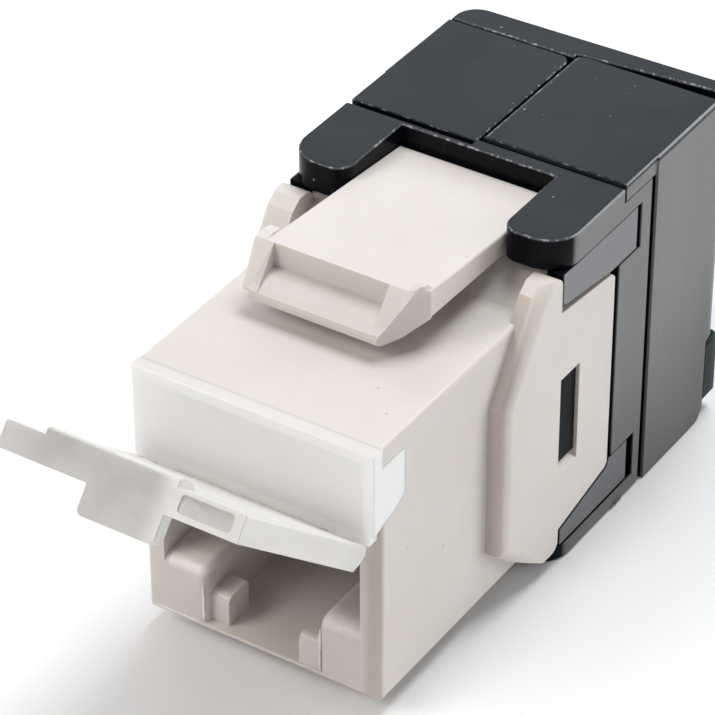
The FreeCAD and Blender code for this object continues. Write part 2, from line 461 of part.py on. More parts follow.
# snap tabs that reach forward and show in the slots
for sgn, rev in ((1, False), (-1, True)):
    sk = sketch(tbk, "YZ_Plane", D.tab_in * sgn)
    rect(sk, D.tab_front, D.flange_front + 0.2, D.tab_bottom, D.tab_top)
    pad(tbk, sk, 0.9, reverse=rev)
    sk = sketch(tbk, "YZ_Plane", (D.tab_in + 0.5) * sgn)
    rect(sk, D.tab_front, D.tab_end, D.tab_bottom, D.tab_top)
    pad(tbk, sk, D.tab_out - D.tab_in - 0.5, reverse=rev)
# wire grooves down both sides of the core
for i in range(4):
    z = D.wire_low + D.wire_pitch * i
    for sgn in (1, -1):
        sk = sketch(tbk, "XZ_Plane", -D.core_rear)
        a, b = (D.core_half - D.groove_deep, D.core_half + 0.5) if sgn > 0 else (-D.core_half - 0.5, -D.core_half + D.groove_deep)
        rect(sk, a, b, z - D.groove_h / 2, z + D.groove_h / 2)
        cut(tbk, sk, D.core_rear - 24.6, reverse=True)

# ----------------------------------------------------------------- wire doors
for label, sgn, top, mid, lead, soft, tail in (("right_wire_door", 1, D.wdoor_top, D.wdoor_mid_right, D.wdoor_front_right, 0.4, D.wdoor_tail_right),
                                               ("left_wire_door", -1, D.wdoor_top_left, D.wdoor_mid_left, D.wdoor_front, 0.15, D.wdoor_top_rear)):
    wd = new_body(label)
    ell = [(D.wdoor_in * sgn, D.wdoor_low), (D.wdoor_out * sgn, D.wdoor_low), (D.wdoor_out * sgn, top), (mid * sgn, top),
           (mid * sgn, D.wdoor_under), (D.wdoor_in * sgn, D.wdoor_under)]
    pad(wd, poly(sketch(wd, "XZ_Plane", -D.wdoor_side_front), eased(ell, {2: 0.22, 3: soft})), tail - D.wdoor_side_front, reverse=True)
    # side wall, with an eased end behind that stops above the hinge lug
    wall = [(D.wdoor_in, D.wdoor_side_front), (D.wdoor_out, D.wdoor_side_front), (D.wdoor_out, D.wdoor_side_rear)]
    low_wall = [(x * sgn, y) for x, y in wall + [(D.wdoor_in, D.wdoor_side_rear)]]
    pad(wd, poly(sketch(wd, "XY_Plane", D.wdoor_low), low_wall), D.rim_low - 0.08 - D.wdoor_low)
    grow = D.wdoor_side_end - D.wdoor_side_rear
    bend = [(D.wdoor_out - round(0.4 * (1 - math.cos(math.radians(a))), 5), D.wdoor_side_rear + grow * round(math.sin(math.radians(a)), 5)) for a in (20, 40, 60, 75, 90)]
    high_wall = [(x * sgn, y) for x, y in wall[2:] + bend + [(D.wdoor_in, D.wdoor_side_end), (D.wdoor_in, D.wdoor_side_rear - 0.5), (D.wdoor_out - 0.4, D.wdoor_side_rear - 0.5)]]
    pad(wd, poly(sketch(wd, "XY_Plane", D.wdoor_side_low), high_wall), D.rim_low - 0.08 - D.wdoor_side_low)
    sk = sketch(wd, "XZ_Plane", -lead)
    poly(sk, eased([(mid * sgn, D.wdoor_under), (D.wdoor_front_out * sgn, D.wdoor_under), (D.wdoor_front_out * sgn, top), (mid * sgn, top)], {2: 0.12, 3: soft}))
    pad(wd, sk, D.wdoor_side_front - lead + 0.2, reverse=True)
    # ribs that press the wires home
    for i in range(4):
        z = D.wire_low + D.wire_pitch * i
        sk = sketch(wd, "XZ_Plane", -D.rib_front)
        rect(sk, D.rib_in * sgn, (D.wdoor_in + 0.1) * sgn, z - D.rib_h / 2, z + D.rib_h / 2)
        pad(wd, sk, D.rib_rear - D.rib_front, reverse=True)
    # hinge pins moulded on, front and rear
    sk = sketch(wd, "XZ_Plane", -(D.wdoor_side_front - D.hinge_reach))
    circle(sk, D.hinge_x * sgn, D.hinge_z, D.hinge_r)
    pad(wd, sk, D.wdoor_side_rear - D.wdoor_side_front + D.hinge_reach * 2, reverse=True)
    # rounded inner corner at the rear
    rnd = 0.8 if sgn > 0 else 0.6
    cr = [((mid - 0.5) * sgn, tail + 0.5), ((mid - 0.5) * sgn, tail - rnd)]
    cr += [((mid + round(rnd * (1 - math.cos(math.radians(a))), 5)) * sgn, tail - rnd + round(rnd * math.sin(math.radians(a)), 5)) for a in (0, 15, 30, 45, 60, 75, 90)]
    cr += [((mid + rnd) * sgn, tail + 0.5)]
    cut(wd, poly(sketch(wd, "XY_Plane", D.wdoor_under - 0.5), cr), 3, reverse=True)
    round_edges(wd, 1.0, lambda c, b: near(c.z, D.wdoor_low) and near(c.y, D.wdoor_side_rear) and flat(b.YMin, b.YMax))

# ----------------------------------------------------------------- rear frame
rf = new_body("rear_frame")
pad(rf, rect(sketch(rf, "XZ_Plane", -D.rear_front), -D.rear_half, D.rear_half, D.rear_low, D.rim_low + 0.3), D.rear_rear - D.rear_front, reverse=True)
pad(rf, poly(sketch(rf, "XY_Plane", D.rim_low), [(-D.rim_half, D.rim_front), (D.rim_half, D.rim_front), (D.rim_half, D.rim_rear_right), (-D.rim_half, D.rim_rear)]), D.rim_top - D.rim_low)
# the rim stands back from the right wire door in a gap that widens to the right
cut(rf, rect(sketch(rf, "XY_Plane", D.rim_low - 0.1), D.wdoor_mid_right - 0.1, D.rim_half + 0.5, D.rim_front - 0.3, D.rear_front - 0.01), 3, reverse=True)
cut(rf, poly(sketch(rf, "XY_Plane", D.rim_low + 0.27), [(D.wdoor_mid_right - 0.1, D.rim_front - 0.3), (D.rim_half + 0.5, D.rim_front - 0.3), (D.rim_half + 0.5, D.rim_gap_right), (D.wdoor_mid_right - 0.1, D.rim_gap_left)]), 3, reverse=True)
pad(rf, rect(sketch(rf, "XZ_Plane", -D.base_front), -D.base_half, D.base_half, D.rear_low, D.base_top), D.rear_rear - D.base_front, reverse=True)
for sgn in (1, -1):
    sk = sketch(rf, "XZ_Plane", -(D.rear_front + 0.05))
    a, b = (D.rear_half - 0.2, D.nub_half) if sgn > 0 else (-D.nub_half, -D.rear_half + 0.2)
    rect(sk, a, b, D.lug_low, D.lug_high)
    pad(rf, sk, D.nub_rear - D.rear_front - 0.05, reverse=True)
    cut(rf, circle(sketch(rf, "XZ_Plane", -(D.rear_front - 0.1)), D.hinge_x * sgn, D.hinge_z, D.hinge_hole), D.hinge_reach + 0.15)
# cable entry
cut(rf, circle(sketch(rf, "XZ_Plane", -(D.rear_front - 1)), 0, D.entry_z, D.entry_d / 2), 5)
round_edges(rf, 1.2, lambda c, b: near(c.y, D.rim_rear_right) and near(c.x, D.rim_half) and span(b.ZMin, b.ZMax, 0.8) and flat(b.YMin, b.YMax) and c.z > 18)
round_edges(rf, 1.4, lambda c, b: near(c.y, D.rim_rear) and near(c.x, -D.rim_half) and span(b.ZMin, b.ZMax, 0.8) and flat(b.YMin, b.YMax) and c.z > 18)
round_edges(rf, 0.35, lambda c, b: near(abs(c.x), D.nub_half) and c.z < 5 and flat(b.XMin, b.XMax) and flat(b.ZMin, b.ZMax) and span(b.YMin, b.YMax, 0.5))
round_edges(rf, 0.15, lambda c, b: near(c.z, D.rim_top) and flat(b.ZMin, b.ZMax))

# -------------------------------------------------------------- circuit board
cb = new_body("circuit_board")
pad(cb, rect(sketch(cb, "XZ_Plane", -D.board_front), -D.board_half, D.board_half, D.board_low, D.board_high), D.board_t, reverse=True)


# ------------------------------------------------------------ spring contacts
def arc_path(points, radius):
    """Straight runs joined by tangent arcs, in the plane x = const."""
    edges = []
    last = points[0]
    for i in range(1, len(points) - 1):
        p = points[i]
        a = (points[i - 1] - p).normalize()
        b = (points[i + 1] - p).normalize()
        half = a.getAngle(b) / 2.0
        t = radius[i - 1] / math.tan(half)
        p1, p2 = p + a * t, p + b * t
        mid_dir = (a + b).normalize()
        c = p + mid_dir * (radius[i - 1] / math.sin(half))
        m = c - mid_dir * radius[i - 1]
        edges.append(Part.LineSegment(last, p1).toShape())
        edges.append(Part.Arc(p1, m, p2).toShape())
        last = p2
    edges.append(Part.LineSegment(last, points[-1]).toShape())
    return Part.Wire(edges)


def tube(path, r):
    start = path.Edges[0].valueAt(path.Edges[0].FirstParameter)
    tangent = path.Edges[0].tangentAt(path.Edges[0].FirstParameter)
    disc = Part.Wire(Part.makeCircle(r, start, tangent))
    return path.makePipeShell([disc], True, False)


def shape_object(label, shape):
    o = doc.addObject("Part::Feature", label)
    o.Label = label
    o.Shape = shape
    return o


spring_shapes = []
level = D.spring_level.v
board_back = D.board_front.v + D.board_t.v
for i in range(8):
    x = (i - 3.5) * D.pitch.v
    row = 0.9 if i % 2 else 0.0
    pts = [V(x, board_back + 0.35, level - row * 1.1), V(x, 17.6, level - row * 1.1), V(x, 16.9, level), V(x, 5.3, level), V(x, 5.05, 11.15), V(x, 12.4, 8.7), V(x, 13.35, 8.75)]
    if row == 0.0:
        pts = [pts[0]] + pts[3:]
    path = arc_path(pts, [0.35, 0.35, 0.5, 0.5, 0.6] if row else [0.5, 0.5, 0.6])
    spring_shapes.append(tube(path, D.spring_d.v / 2))
    shape_object("spring_contact_%d" % (i + 1), spring_shapes[-1])

# ------------------------------------------------------------ contact carrier
def block(x0, x1, y0, y1, z0, z1):
    a = [Q.of(q).v for q in (x0, x1, y0, y1, z0, z1)]
    return Part.makeBox(a[1] - a[0], a[3] - a[2], a[5] - a[4], V(a[0], a[2], a[4]))


carrier = block(-D.carrier_half, D.carrier_half, D.carrier_front, D.carrier_rear, D.carrier_low, D.carrier_top)
# comb slots that let the spring ends move
for i in range(8):
    x = (i - 3.5) * D.pitch.v
    carrier = carrier.cut(block(x - 0.3, x + 0.3, 13.0, 14.3, 8.2, 12.2))
for w in spring_shapes:
    carrier = carrier.cut(w)
# channels for the snap tabs of the terminal block
for sgn in (1, -1):
    x0, x1 = (5.6, 6.5) if sgn > 0 else (-6.5, -5.6)
    carrier = carrier.cut(block(x0, x1, 15.0, 19, 5.3, 11.3))
shape_object("contact_carrier", carrier)

# -------------------------------------------------------------- wire contacts
blades = []
k = 0
for sgn in (1, -1):
    for i in range(4):
        z = D.wire_low.v + D.wire_pitch.v * i
        zb = (3.4, 7.4, 10.3, 13.6)[i]
        x_tail = D.blade_in.v + 0.5 * (i % 2)
        y0, t = D.blade_y.v, D.blade_t.v
        prong = block(D.blade_in, D.blade_out, y0, y0 + t, z - D.blade_half.v, z + D.blade_half.v)
        slot = block(D.blade_out.v - D.fork_deep.v, D.blade_out.v + 1, y0 - 1, y0 + 2, z - D.fork_gap.v / 2, z + D.fork_gap.v / 2)
        lead = Part.Face(Part.makePolygon([V(D.blade_out.v + 0.01, y0 - 0.5, z - 0.55), V(D.blade_out.v + 0.01, y0 - 0.5, z + 0.55), V(D.blade_out.v - 0.6, y0 - 0.5, z), V(D.blade_out.v + 0.01, y0 - 0.5, z - 0.55)])).extrude(V(0, 2, 0))
        prong = prong.cut(slot).cut(lead)
        tail = block(x_tail, x_tail + 0.4, 24.2, y0 + t / 2, z - 0.4, z + 0.4)
        z_lo, z_hi = min(z, zb) - 0.4, max(z, zb) + 0.4
        riser = block(x_tail, x_tail + 0.4, 23.6, 24.4, z_lo, z_hi)
        leg = block(x_tail, x_tail + 0.4, board_back - 0.9, 23.8, zb - 0.3, zb + 0.3)
        solid = prong.fuse([tail, riser, leg]).removeSplitter()
        if sgn < 0:
            solid = solid.mirror(V(0, 0, 0), V(1, 0, 0))
        k += 1
        blades.append(solid)
        shape_object("wire_contact_%d" % k, solid)

doc.recompute()


# ------------------------------- openings that the contacts pass through
def through(label, tools, clear=()):
    """The body's shape less the contacts that sit in it."""
    src = doc.getObject(label)
    shape = src.Shape.copy()
    for w in tools:
        shape = shape.cut(w)
    for c in clear:
        shape = shape.cut(c)
    src.Label = label + "_blank"
    o = doc.addObject("Part::Feature", label + "_part")
    o.Label = label
    o.Shape = shape
    return o


through("terminal_block", blades)
through("circuit_board", blades + spring_shapes)

NODES = ["front_housing", "panel_latch", "label_cover", "label_card", "dust_door", "front_shell", "terminal_block", "left_wire_door",
         "right_wire_door", "rear_frame", "circuit_board", "contact_carrier"]
NODES += ["spring_contact_%d" % (i + 1) for i in range(8)] + ["wire_contact_%d" % (i + 1) for i in range(8)]

doc.recompute()
for o in doc.Objects:
    if "Invalid" in o.State or "Error" in o.State:
        raise RuntimeError("object %s failed: %s" % (o.Name, o.State))

os.makedirs("parts", exist_ok=True)
total = 0.0
for name in NODES:
    found = [o for o in doc.Objects if o.Label == name]
    if len(found) != 1:
        raise RuntimeError("label %s found %d times" % (name, len(found)))
    s = found[0].Shape
    if s.isNull() or not s.isValid() or len(s.Solids) != 1:
        raise RuntimeError("%s: null, not valid, or %d solids" % (name, len(s.Solids)))
    total += s.Volume
    s.exportStep("parts/%s.step" % name)
    b = s.BoundBox
    print("%-18s vol %9.2f  x %.2f..%.2f  y %.2f..%.2f  z %.2f..%.2f" % (name, s.Volume, b.XMin, b.XMax, b.YMin, b.YMax, b.ZMin, b.ZMax))
print("nodes", len(NODES), "volume", round(total, 1))
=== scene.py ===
import bpy
import math
import bmesh
from mathutils import Matrix, Vector, noise


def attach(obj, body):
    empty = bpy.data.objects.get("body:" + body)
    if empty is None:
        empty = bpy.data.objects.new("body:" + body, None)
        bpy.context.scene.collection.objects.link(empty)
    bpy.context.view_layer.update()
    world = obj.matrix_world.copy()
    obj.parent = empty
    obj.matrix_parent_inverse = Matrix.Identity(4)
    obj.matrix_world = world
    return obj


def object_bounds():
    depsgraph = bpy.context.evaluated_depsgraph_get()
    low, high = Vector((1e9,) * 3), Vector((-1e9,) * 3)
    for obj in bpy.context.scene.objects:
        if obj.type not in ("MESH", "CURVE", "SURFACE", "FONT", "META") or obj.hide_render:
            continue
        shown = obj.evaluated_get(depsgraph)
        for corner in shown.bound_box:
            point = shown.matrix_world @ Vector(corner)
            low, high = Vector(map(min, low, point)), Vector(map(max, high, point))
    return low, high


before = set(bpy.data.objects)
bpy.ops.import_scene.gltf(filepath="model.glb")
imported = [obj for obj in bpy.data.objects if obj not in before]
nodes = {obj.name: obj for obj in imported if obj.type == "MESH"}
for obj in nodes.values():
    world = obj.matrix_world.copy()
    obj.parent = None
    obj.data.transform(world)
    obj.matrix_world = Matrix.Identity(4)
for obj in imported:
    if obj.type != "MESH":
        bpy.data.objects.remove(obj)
cad_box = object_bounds()
MM = 0.001
scene = bpy.context.scene


# ------------------------------------------------------------------ materials
class Mat:
    """A procedural material: small helpers round one Principled shader."""

    def __init__(self, name):
        self.m = bpy.data.materials.new(name)
        self.m.use_nodes = True
        self.t = self.m.node_tree
        self.t.nodes.clear()
        self.out = self.t.nodes.new("ShaderNodeOutputMaterial")
        self.p = self.t.nodes.new("ShaderNodeBsdfPrincipled")
        self.link(self.p.outputs[0], self.out.inputs[0])
        self.co = self.t.nodes.new("ShaderNodeTexCoord").outputs["Object"]

    def link(self, a, b):
        self.t.links.new(a, b)

    def value(self, socket, v):
        self.p.inputs[socket].default_value = v

    def math(self, op, a, b=None, clamp=False):
        n = self.t.nodes.new("ShaderNodeMath")
        n.operation = op
        n.use_clamp = clamp
        for i, v in enumerate((a, b)):
            if v is None:
                continue
            if isinstance(v, (int, float)):
                n.inputs[i].default_value = v
            else:
                self.link(v, n.inputs[i])
        return n.outputs[0]

    def noise(self, scale, detail=3.0, rough=0.55, distort=0.0, stretch=None, offset=(0, 0, 0)):
        n = self.t.nodes.new("ShaderNodeTexNoise")
        n.inputs["Scale"].default_value = scale
        n.inputs["Detail"].default_value = detail
        n.inputs["Roughness"].default_value = rough
        n.inputs["Distortion"].default_value = distort
        m = self.t.nodes.new("ShaderNodeMapping")
        m.inputs["Location"].default_value = offset
        if stretch:
            m.inputs["Scale"].default_value = stretch
        self.link(self.co, m.inputs["Vector"])
        self.link(m.outputs[0], n.inputs["Vector"])
        return n.outputs[0]

    def remap(self, v, a, b, c, d, smooth=False):
        n = self.t.nodes.new("ShaderNodeMapRange")
        n.clamp = True
        if smooth:
            n.interpolation_type = "SMOOTHSTEP"
        for i, x in enumerate((a, b, c, d), start=1):
            n.inputs[i].default_value = x
        self.link(v, n.inputs[0])
        return n.outputs[0]

    def mix(self, f, a, b):
        n = self.t.nodes.new("ShaderNodeMix")
        n.data_type = "RGBA"
        if isinstance(f, (int, float)):
            n.inputs[0].default_value = f
        else:
            self.link(f, n.inputs[0])
        for i, v in ((6, a), (7, b)):
            if isinstance(v, tuple):
                n.inputs[i].default_value = (*v, 1.0)
            else:
                self.link(v, n.inputs[i])
        return n.outputs[2]

    def specks(self, scale, size, share, offset=(0, 0, 0)):
        """Scattered dots: 1 inside a dot. share is how many cells hold one."""
        m = self.t.nodes.new("ShaderNodeMapping")
        m.inputs["Location"].default_value = offset
        self.link(self.co, m.inputs["Vector"])
        v = self.t.nodes.new("ShaderNodeTexVoronoi")
        v.inputs["Scale"].default_value = scale
        v.inputs["Randomness"].default_value = 1.0
        self.link(m.outputs[0], v.inputs["Vector"])
        sep = self.t.nodes.new("ShaderNodeSeparateColor")
        self.link(v.outputs["Color"], sep.inputs[0])
        r = self.math("MULTIPLY", self.math("ADD", sep.outputs[1], 0.25), size)
        inside = self.remap(self.math("DIVIDE", v.outputs["Distance"], r), 0.7, 1.0, 1.0, 0.0)
        chosen = self.math("LESS_THAN", sep.outputs[0], share)
        return self.math("MULTIPLY", inside, chosen)

    def bump(self, height, distance, strength=1.0):
        n = self.t.nodes.new("ShaderNodeBump")
        n.inputs["Distance"].default_value = distance
        n.inputs["Strength"].default_value = strength
        self.link(height, n.inputs["Height"])
        self.link(n.outputs[0], self.p.inputs["Normal"])

    def colour(self, c):
        self.link(c, self.p.inputs["Base Color"])

    def rough(self, r):
        self.link(r, self.p.inputs["Roughness"])


def white_plastic():
    m = Mat("white_plastic")
    cloud = m.remap(m.noise(90, 4.0, 0.6), 0.35, 0.65, 0.0, 1.0, True)
    base = m.mix(cloud, (0.665, 0.615, 0.572), (0.700, 0.655, 0.612))
    flow = m.remap(m.noise(60, 3.0, 0.5, 1.2, stretch=(1.0, 0.35, 1.0)), 0.5, 0.75, 0.0, 1.0, True)
    base = m.mix(m.math("MULTIPLY", flow, 0.30), base, (0.62, 0.560, 0.515))
    # painted shade: the faces that look forward on the right are painted a warmer, duller white, where less light
    # reaches them
    sep = m.t.nodes.new("ShaderNodeSeparateXYZ")
    m.link(m.co, sep.inputs[0])
    facing = m.t.nodes.new("ShaderNodeSeparateXYZ")
    m.link(m.t.nodes.new("ShaderNodeTexCoord").outputs["Normal"], facing.inputs[0])
    front = m.remap(facing.outputs[1], -0.92, -0.55, 0.62, 0.0, True)
    right_front_shade = m.math("MULTIPLY", front, m.remap(sep.outputs[0], 5.9 * MM, 6.6 * MM, 0.0, 1.0, True))
    base = m.mix(right_front_shade, base, (0.50, 0.405, 0.345))
    # painted highlight: the rounded ledges in the mouth of the port are painted a paler white, for light that reaches
    # them there
    wide = m.math("ABSOLUTE", sep.outputs[0])
    ledge_highlight = m.math("MULTIPLY", m.remap(sep.outputs[2], 3.05 * MM, 3.55 * MM, 0.0, 0.85, True), m.remap(sep.outputs[2], 4.25 * MM, 4.40 * MM, 1.0, 0.0))
    ledge_highlight = m.math("MULTIPLY", ledge_highlight, m.remap(sep.outputs[1], 0.6 * MM, 1.7 * MM, 1.0, 0.0, True))
    ledge_highlight = m.math("MULTIPLY", ledge_highlight, m.math("MULTIPLY", m.remap(wide, 3.1 * MM, 3.5 * MM, 0.0, 1.0, True), m.remap(wide, 5.88 * MM, 5.98 * MM, 1.0, 0.0)))
    ledge_highlight = m.math("MULTIPLY", ledge_highlight, m.remap(m.noise(700, 3.0, 0.6, offset=(5, 2, 3)), 0.32, 0.60, 0.72, 1.0, True))
    base = m.mix(ledge_highlight, base, (0.96, 0.905, 0.865))
    dirt = m.specks(700, 0.09, 0.10)
    base = m.mix(m.math("MULTIPLY", dirt, 0.35), base, (0.36, 0.31, 0.27))
    m.colour(base)
    m.rough(m.remap(m.noise(260, 4.0, 0.6), 0.3, 0.7, 0.38, 0.52))
    grain = m.noise(9000, 2.0, 0.5)
    ripple = m.noise(420, 2.0, 0.5)
    h = m.math("ADD", m.math("MULTIPLY", grain, 0.35), ripple)
    m.bump(h, 0.012 * MM, 0.6)
    m.value("Subsurface Weight", 0.25)
    m.value("Subsurface Radius", (1.0, 0.7, 0.5))
    m.value("Subsurface Scale", 0.8 * MM)
    m.value("IOR", 1.50)
    return m.m


def frosted(name, tint_a, tint_b, trans, rough, inner, depth, edge=None):
    m = Mat(name)
    cloud = m.remap(m.noise(180, 4.0, 0.6, 0.4), 0.35, 0.65, 0.0, 1.0, True)
    base = m.mix(cloud, tint_a, tint_b)
    milk = m.remap(m.noise(70, 3.0, 0.55, 0.8, offset=(3, 1, 2)), 0.45, 0.7, 0.0, 1.0, True)
    base = m.mix(m.math("MULTIPLY", milk, 0.35), base, (0.95, 0.95, 0.94))
    if edge:
        base = edge(m, base)
    m.colour(base)
    m.rough(m.remap(m.noise(500, 4.0, 0.6), 0.3, 0.7, rough - 0.07, rough + 0.10))
    grain = m.noise(7000, 3.0, 0.6)
    wave = m.noise(300, 2.0, 0.5)
    m.bump(m.math("ADD", m.math("MULTIPLY", grain, 0.5), wave), 0.015 * MM, 0.7)
    m.value("Transmission Weight", trans)
    m.value("Subsurface Weight", inner)
    m.value("Subsurface Radius", (1.0, 0.97, 0.93))
    m.value("Subsurface Scale", depth * MM)
    m.value("IOR", 1.46)
    return m.m


def window_tone(m, base):
    """Solid border of the window, over the pocket for the card, and the narrow top that matches the housing."""
    sep = m.t.nodes.new("ShaderNodeSeparateXYZ")
    m.link(m.co, sep.inputs[0])
    ax = m.math("ABSOLUTE", sep.outputs[0])
    side = m.remap(ax, 6.45 * MM, 6.75 * MM, 0.0, 1.0, True)
    high = m.remap(sep.outputs[2], 15.25 * MM, 15.45 * MM, 0.0, 1.0, True)
    low = m.remap(sep.outputs[2], 10.95 * MM, 11.15 * MM, 1.0, 0.0, True)
    base = m.mix(m.math("MAXIMUM", side, m.math("MAXIMUM", high, low)), base, (0.955, 0.95, 0.935))
    # painted highlight: the left end is painted paler, where more light falls from the front left
    left_highlight = m.remap(m.math("ADD", sep.outputs[0], m.math("MULTIPLY", m.noise(160, 3.0, 0.5), 1.6 * MM)), -6.4 * MM, -2.6 * MM, 0.85, 0.0, True)
    base = m.mix(left_highlight, base, (0.975, 0.965, 0.955))
    crown = m.math("MULTIPLY", m.remap(sep.outputs[2], 15.93 * MM, 15.97 * MM, 0.0, 1.0), m.remap(sep.outputs[1], -0.76 * MM, -0.70 * MM, 0.0, 1.0))
    return m.mix(crown, base, (0.725, 0.700, 0.672))


def door_end_shade(m, base):
    """Painted shade: the thick free end of the door, turned away from the light, and the shallow panel in it are
    painted greyer and cloudier than its face; the end's grey fades out to the right and towards the paler tip.
    """
    dot = m.t.nodes.new("ShaderNodeVectorMath")
    dot.operation = "DOT_PRODUCT"
    dot.inputs[1].default_value = (0.0, -0.76267, 0.64679)
    m.link(m.co, dot.inputs[0])
    sep = m.t.nodes.new("ShaderNodeSeparateXYZ")
    m.link(m.co, sep.inputs[0])
    end = m.remap(dot.outputs["Value"], 20.79 * MM, 20.82 * MM, 0.0, 1.0)
    panel = m.math("MULTIPLY", m.remap(dot.outputs["Value"], 20.68 * MM, 20.70 * MM, 0.0, 1.0), m.remap(dot.outputs["Value"], 20.77 * MM, 20.79 * MM, 1.0, 0.0))
    left = m.remap(sep.outputs[0], 1.6 * MM, 3.1 * MM, 1.0, 0.12, True)
    end_shade = m.math("MAXIMUM", m.math("MULTIPLY", end, left), m.math("MULTIPLY", panel, 0.72))
    cloud = m.remap(m.noise(210, 3.0, 0.55, 0.5, offset=(1, 4, 2)), 0.34, 0.66, 0.0, 0.55, True)
    tip = m.remap(sep.outputs[0], -6.6 * MM, -3.2 * MM, 0.75, 0.0, True)
    tone = m.mix(m.math("MAXIMUM", cloud, tip), (0.50, 0.49, 0.465), (0.72, 0.71, 0.69))
    return m.mix(end_shade, base, tone)


def black_plastic(name, low, high, dust, gloss, side_sheen=0.0, nub=0.0, top=None, sheen_grey=(0.268, 0.270, 0.264)):
    m = Mat(name)
    smear = m.remap(m.noise(70, 4.0, 0.55, 0.5), 0.30, 0.72, 0.0, 1.0, True)
    base = m.mix(smear, (0.0022, 0.0028, 0.0040), (0.0052, 0.0060, 0.0082))
    sep = m.t.nodes.new("ShaderNodeSeparateXYZ")
    m.link(m.co, sep.inputs[0])
    if side_sheen:
        # painted reflection: the outer sides are painted a grey sheen, in upright streaks, darker towards the bottom
        streak = m.noise(120, 4.0, 0.6, 0.3, stretch=(1.0, 1.0, 0.22))
        out = m.remap(m.math("ABSOLUTE", sep.outputs[0]), 8.30 * MM, 8.40 * MM, 0.0, 1.0, True)
        sheen_mask = m.math("MULTIPLY", out, m.remap(streak, 0.25, 0.75, 0.84, 1.0, True))
        up = m.remap(sep.outputs[2], -1.0 * MM, 12.0 * MM, 0.58, 1.0, True)
        sheen_mask = m.math("MULTIPLY", m.math("MULTIPLY", sheen_mask, up), side_sheen)
        base = m.mix(sheen_mask, base, sheen_grey)
    if nub:
        # hinge lugs at the rear are a darker green-black
        at = m.math("MULTIPLY", m.remap(sep.outputs[1], 31.70 * MM, 31.76 * MM, 0.0, 1.0), m.remap(sep.outputs[2], 4.1 * MM, 4.3 * MM, 1.0, 0.0))
        at = m.math("MULTIPLY", at, m.remap(m.math("ABSOLUTE", sep.outputs[0]), 7.05 * MM, 7.15 * MM, 0.0, 1.0))
        strip = m.remap(sep.outputs[1], 32.4 * MM, 32.9 * MM, 0.0, 1.0, True)
        base = m.mix(at, base, (0.002, 0.008, 0.006))
        base = m.mix(m.math("MULTIPLY", at, strip), base, (0.020, 0.045, 0.034))
    glint = None
    if top is not None:
        # the top faces get a pale bluish film in clouds, partly fine dust and partly a painted reflection of the
        # lights; their edges get a painted highlight, a thin pale line, continuous along the right side
        cloud = m.remap(m.noise(95, 3.0, 0.55, 0.6, offset=(2, 5, 1)), 0.32, 0.68, 0.66, 1.12)
        top_sheen_and_dust = m.math("MULTIPLY", m.remap(sep.outputs[2], 19.60 * MM, 19.66 * MM, 0.0, 1.0), cloud)
        base = m.mix(top_sheen_and_dust, base, (0.0330, 0.0368, 0.0428))
        rise = m.remap(sep.outputs[2], (top - 0.125) * MM, (top - 0.085) * MM, 0.0, 1.0)
        fall = m.remap(sep.outputs[2], (top - 0.022) * MM, (top - 0.008) * MM, 1.0, 0.0)
        edge_glint_specks = m.remap(m.noise(2600, 3.0, 0.7), 0.50, 0.62, 0.16, 1.0, True)
        edge_glint_specks = m.math("MAXIMUM", edge_glint_specks, m.remap(sep.outputs[0], 8.15 * MM, 8.30 * MM, 0.0, 0.80))
        glint = m.math("MULTIPLY", m.math("MULTIPLY", rise, fall), edge_glint_specks)
        base = m.mix(glint, base, (0.36, 0.37, 0.38))
    spots = m.specks(900, 0.075, dust, (0.3, 0.1, 0.7))
    fine = m.specks(2300, 0.11, dust * 0.6, (1.3, 0.4, 0.2))
    lint = m.math("MAXIMUM", spots, m.math("MULTIPLY", fine, 0.6))
    base = m.mix(m.math("MULTIPLY", lint, 0.8), base, (0.42, 0.42, 0.42))
    m.colour(base)
    r = m.remap(smear, 0.0, 1.0, low, high)
    r = m.math("ADD", r, m.math("MULTIPLY", lint, 0.5), True)
    m.rough(r)
    ripple = m.noise(260, 3.0, 0.5)
    grain = m.noise(6000, 2.0, 0.5)
    h = m.math("ADD", m.math("MULTIPLY", ripple, 0.6), m.math("MULTIPLY", grain, 0.12))
    h = m.math("ADD", h, m.math("MULTIPLY", lint, 0.5))
    m.bump(h, 0.020 * MM, 0.45)
    m.value("IOR", 1.50)
    m.value("Specular IOR Level", gloss)
    return m.m


def flash_plastic():
    m = Mat("white_flash")
    n = m.noise(1500, 4.0, 0.6)
    # the flash is painted paler than the housing white: partly its thin translucent plastic, partly a painted
    # highlight along the lines
    m.colour(m.mix(m.remap(n, 0.32, 0.68, 0.0, 1.0, True), (0.88, 0.825, 0.785), (0.97, 0.93, 0.90)))
    m.rough(m.remap(n, 0.3, 0.7, 0.30, 0.46))
    m.bump(n, 0.012 * MM, 0.6)
    m.value("Subsurface Weight", 0.3)
    m.value("Subsurface Radius", (1.0, 0.8, 0.65))
    m.value("Subsurface Scale", 0.3 * MM)
    return m.m


def card():
    m = Mat("card_white")
    fibre = m.noise(5200, 4.0, 0.65, 0.5)
    m.colour(m.mix(m.remap(fibre, 0.3, 0.7, 0.0, 1.0), (0.78, 0.775, 0.75), (0.84, 0.835, 0.815)))
    m.rough(m.remap(fibre, 0.3, 0.7, 0.75, 0.92))
    m.bump(fibre, 0.02 * MM, 0.6)
    return m.m


def gold():
    m = Mat("contact_gold")
    n = m.noise(900, 4.0, 0.6, stretch=(1, 0.15, 1))
    m.colour(m.mix(m.remap(n, 0.3, 0.7, 0.0, 1.0), (0.72, 0.50, 0.20), (0.86, 0.66, 0.32)))
    m.rough(m.remap(n, 0.3, 0.7, 0.16, 0.34))
    m.bump(n, 0.006 * MM, 0.5)
    m.value("Metallic", 1.0)
    return m.m


